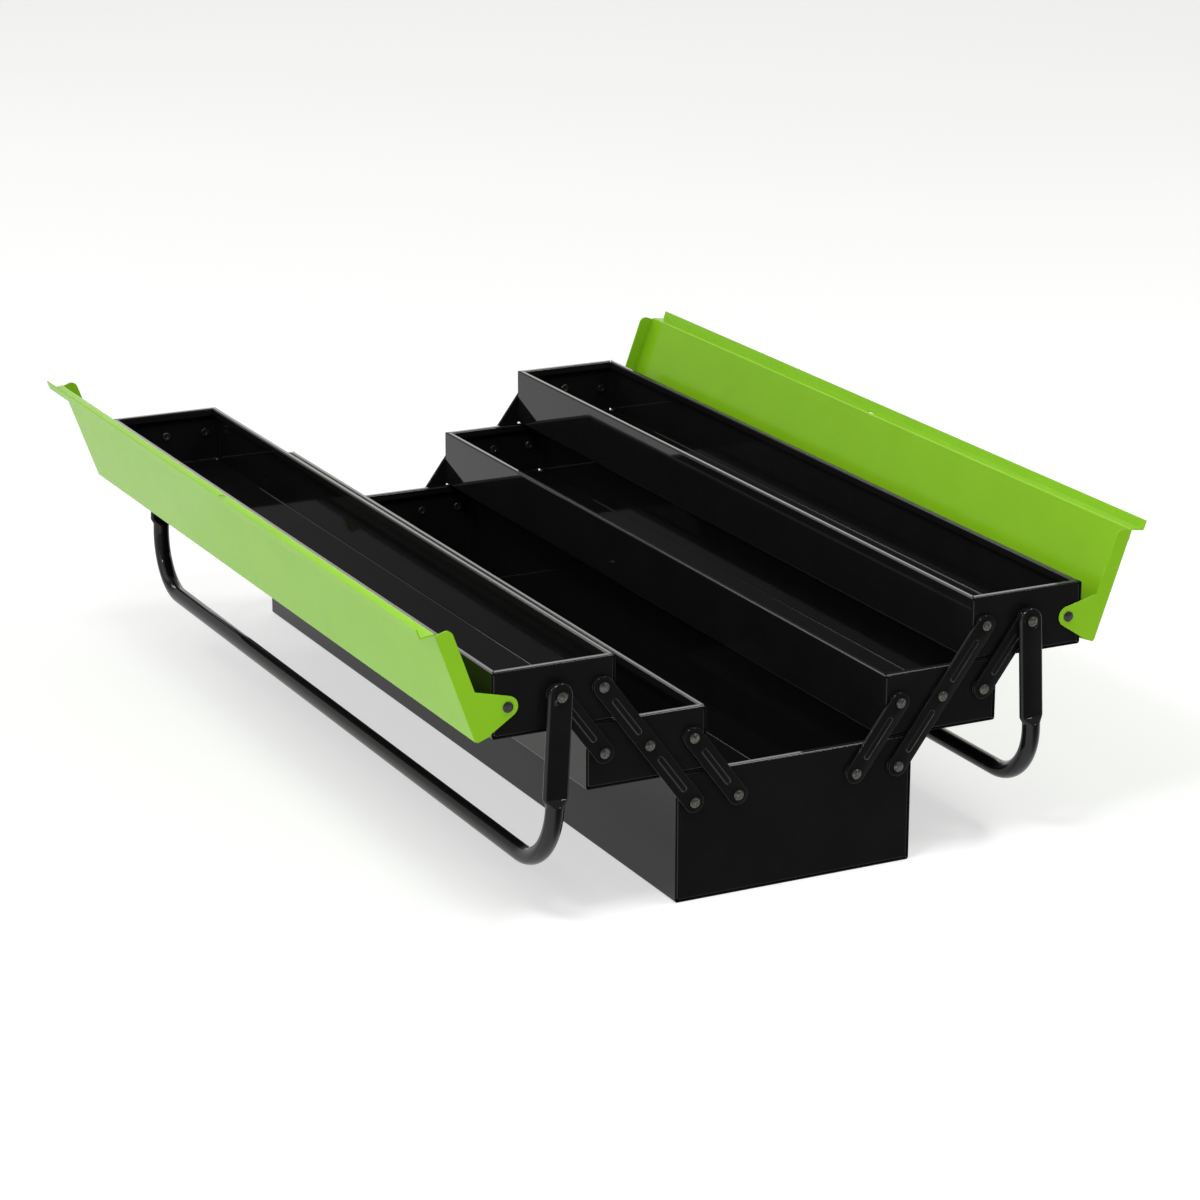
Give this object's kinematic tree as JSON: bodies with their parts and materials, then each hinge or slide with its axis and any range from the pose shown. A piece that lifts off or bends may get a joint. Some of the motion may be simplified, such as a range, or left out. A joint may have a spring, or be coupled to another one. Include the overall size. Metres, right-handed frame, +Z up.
{
  "type": "cantilever tool box",
  "caption": "Long steel tool box whose trays swing out on riveted links, with folding lids and tube handles, shown open.",
  "frame": {"origin": "middle of the base tray's underside, on the resting plane", "axes": "+X along the length towards the right-hand end, -Y towards the front pair of trays, +Z up"},
  "size_m": [0.8128, 0.61, 0.2406],
  "materials": {
    "black_paint": "smooth gloss black powder coat on folded sheet steel",
    "green_paint": "smooth gloss lime green powder coat on folded sheet steel",
    "rivet_steel": "dull dark steel rivet heads and hollow tails"
  },
  "bodies": {
    "base": {"base_channel": "black_paint", "base_end_left": "black_paint", "base_end_right": "black_paint", "base_rivets": "rivet_steel"},
    "front_long_links": {"front_long_link_left": "black_paint", "front_long_link_right": "black_paint"},
    "front_lower_links": {"front_lower_link_left": "black_paint", "front_lower_link_right": "black_paint"},
    "front_mid_tray": {"front_mid_channel": "black_paint", "front_mid_end_left": "black_paint", "front_mid_end_right": "black_paint", "front_mid_rivets": "rivet_steel"},
    "front_upper_links": {"front_upper_link_left": "black_paint", "front_upper_link_right": "black_paint"},
    "front_upper_tray": {"front_upper_channel": "black_paint", "front_upper_end_left": "black_paint", "front_upper_end_right": "black_paint", "front_upper_rivets": "rivet_steel", "front_lid_rivets": "rivet_steel", "front_handle_rivets": "rivet_steel"},
    "front_lid": {"front_lid": "green_paint"},
    "front_handle": {"front_handle": "black_paint"},
    "back_long_links": {"back_long_link_left": "black_paint", "back_long_link_right": "black_paint"},
    "back_lower_links": {"back_lower_link_left": "black_paint", "back_lower_link_right": "black_paint"},
    "back_mid_tray": {"back_mid_channel": "black_paint", "back_mid_end_left": "black_paint", "back_mid_end_right": "black_paint", "back_mid_rivets": "rivet_steel"},
    "back_upper_links": {"back_upper_link_left": "black_paint", "back_upper_link_right": "black_paint"},
    "back_upper_tray": {"back_upper_channel": "black_paint", "back_upper_end_left": "black_paint", "back_upper_end_right": "black_paint", "back_upper_rivets": "rivet_steel", "back_lid_rivets": "rivet_steel", "back_handle_rivets": "rivet_steel"},
    "back_lid": {"back_lid": "green_paint"},
    "back_handle": {"back_handle": "black_paint"}
  },
  "joints": [
    {"name": "front_fold", "type": "hinge", "parent": "base", "child": "front_long_links", "pos_m": [0, -0.0865, 0.0779], "axis": [-1, 0, 0], "range_deg": [0, 73.3]},
    {"name": "front_lower_link_turn", "type": "hinge", "parent": "base", "child": "front_lower_links", "pos_m": [0, -0.0501, 0.0779], "axis": [-1, 0, 0], "range_deg": [0, 73.3]},
    {"name": "front_mid_tray_level", "type": "hinge", "parent": "front_long_links", "child": "front_mid_tray", "pos_m": [0, -0.1237, 0.1279], "axis": [-1, 0, 0], "range_deg": [-73.3, 0]},
    {"name": "front_upper_link_turn", "type": "hinge", "parent": "front_mid_tray", "child": "front_upper_links", "pos_m": [0, -0.1601, 0.1279], "axis": [-1, 0, 0], "range_deg": [0, 73.3]},
    {"name": "front_upper_tray_level", "type": "hinge", "parent": "front_long_links", "child": "front_upper_tray", "pos_m": [0, -0.1609, 0.1779], "axis": [-1, 0, 0], "range_deg": [-73.3, 0]},
    {"name": "front_lid_close", "type": "hinge", "parent": "front_upper_tray", "child": "front_lid", "pos_m": [0, -0.23555, 0.1737], "axis": [-1, 0, 0], "range_deg": [0, 110]},
    {"name": "front_handle_lift", "type": "hinge", "parent": "front_upper_tray", "child": "front_handle", "pos_m": [0, -0.1973, 0.1779], "axis": [-1, 0, 0], "range_deg": [0, 194.4]},
    {"name": "back_fold", "type": "hinge", "parent": "base", "child": "back_long_links", "pos_m": [0, 0.0865, 0.0779], "axis": [1, 0, 0], "range_deg": [0, 73.3]},
    {"name": "back_lower_link_turn", "type": "hinge", "parent": "base", "child": "back_lower_links", "pos_m": [0, 0.0501, 0.0779], "axis": [1, 0, 0], "range_deg": [0, 73.3]},
    {"name": "back_mid_tray_level", "type": "hinge", "parent": "back_long_links", "child": "back_mid_tray", "pos_m": [0, 0.1237, 0.1279], "axis": [1, 0, 0], "range_deg": [-73.3, 0]},
    {"name": "back_upper_link_turn", "type": "hinge", "parent": "back_mid_tray", "child": "back_upper_links", "pos_m": [0, 0.1601, 0.1279], "axis": [1, 0, 0], "range_deg": [0, 73.3]},
    {"name": "back_upper_tray_level", "type": "hinge", "parent": "back_long_links", "child": "back_upper_tray", "pos_m": [0, 0.1609, 0.1779], "axis": [1, 0, 0], "range_deg": [-73.3, 0]},
    {"name": "back_lid_close", "type": "hinge", "parent": "back_upper_tray", "child": "back_lid", "pos_m": [0, 0.23555, 0.1737], "axis": [1, 0, 0], "range_deg": [0, 110]},
    {"name": "back_handle_lift", "type": "hinge", "parent": "back_upper_tray", "child": "back_handle", "pos_m": [0, 0.1973, 0.1779], "axis": [1, 0, 0], "range_deg": [0, 194.4]}
  ],
  "couplings": [
    {"joint": "front_lower_link_turn", "follows": "front_fold", "ratio": 1},
    {"joint": "front_mid_tray_level", "follows": "front_fold", "ratio": -1},
    {"joint": "front_upper_link_turn", "follows": "front_fold", "ratio": 1},
    {"joint": "front_upper_tray_level", "follows": "front_fold", "ratio": -1},
    {"joint": "front_lid_close", "follows": "front_fold", "ratio": 1.5006},
    {"joint": "front_handle_lift", "follows": "front_fold", "ratio": 2.6521},
    {"joint": "back_lower_link_turn", "follows": "back_fold", "ratio": 1},
    {"joint": "back_mid_tray_level", "follows": "back_fold", "ratio": -1},
    {"joint": "back_upper_link_turn", "follows": "back_fold", "ratio": 1},
    {"joint": "back_upper_tray_level", "follows": "back_fold", "ratio": -1},
    {"joint": "back_lid_close", "follows": "back_fold", "ratio": 1.5006},
    {"joint": "back_handle_lift", "follows": "back_fold", "ratio": 2.6521}
  ]
}
